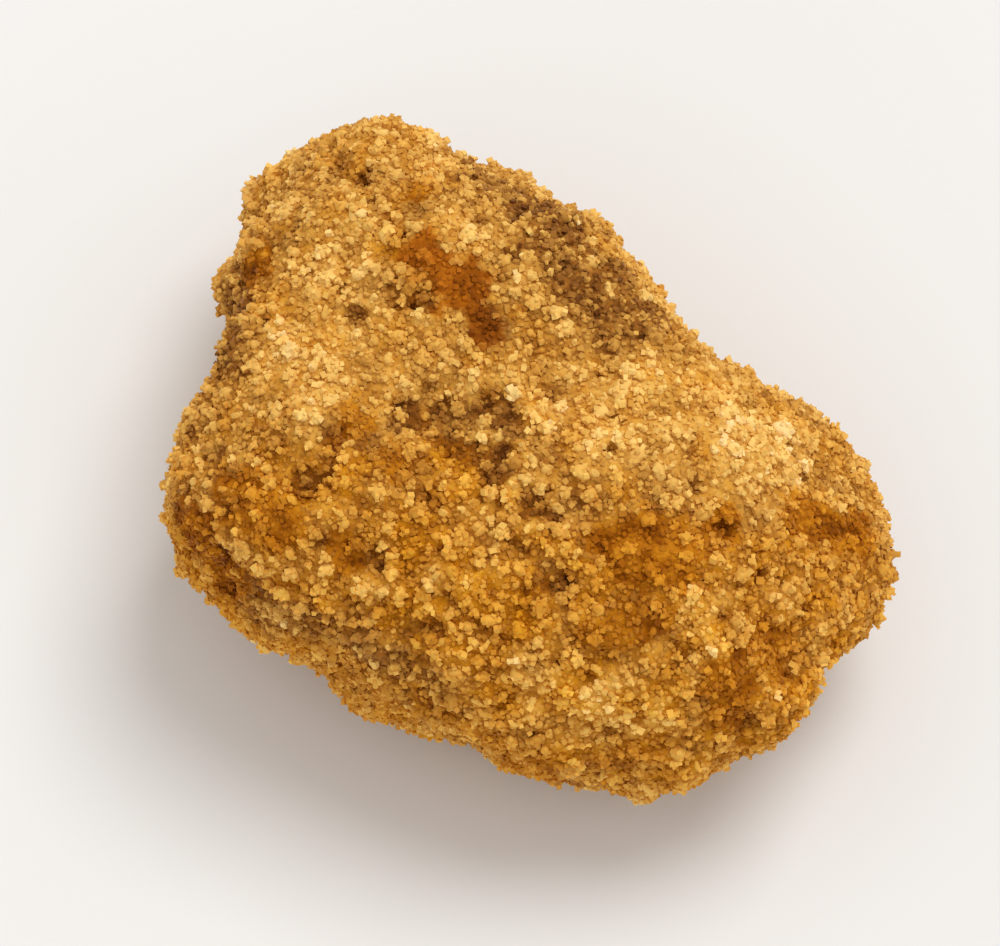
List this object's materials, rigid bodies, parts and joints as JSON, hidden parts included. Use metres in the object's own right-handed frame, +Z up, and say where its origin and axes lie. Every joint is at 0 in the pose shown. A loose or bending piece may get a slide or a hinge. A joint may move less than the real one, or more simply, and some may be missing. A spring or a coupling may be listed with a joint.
{
  "type": "jaggery lump",
  "caption": "Rough lump of jaggery, broken from a larger cake: a solid, knobbly piece with a waist on each long side, a sandy sugar crust and a level flat underneath.",
  "frame": {"origin": "middle of the bounding box's underside, on the flat that the lump rests on", "axes": "+X along the length, towards the blunt end; +Y across the width, towards the side with the long waist; +Z up"},
  "size_m": [0.0262, 0.0184, 0.0144],
  "materials": {
    "jaggery": "matt, sandy crust of pale golden sugar crystals over darker, slightly waxy brown sugar"
  },
  "bodies": {
    "root": {"jaggery_lump": "jaggery"}
  },
  "joints": []
}
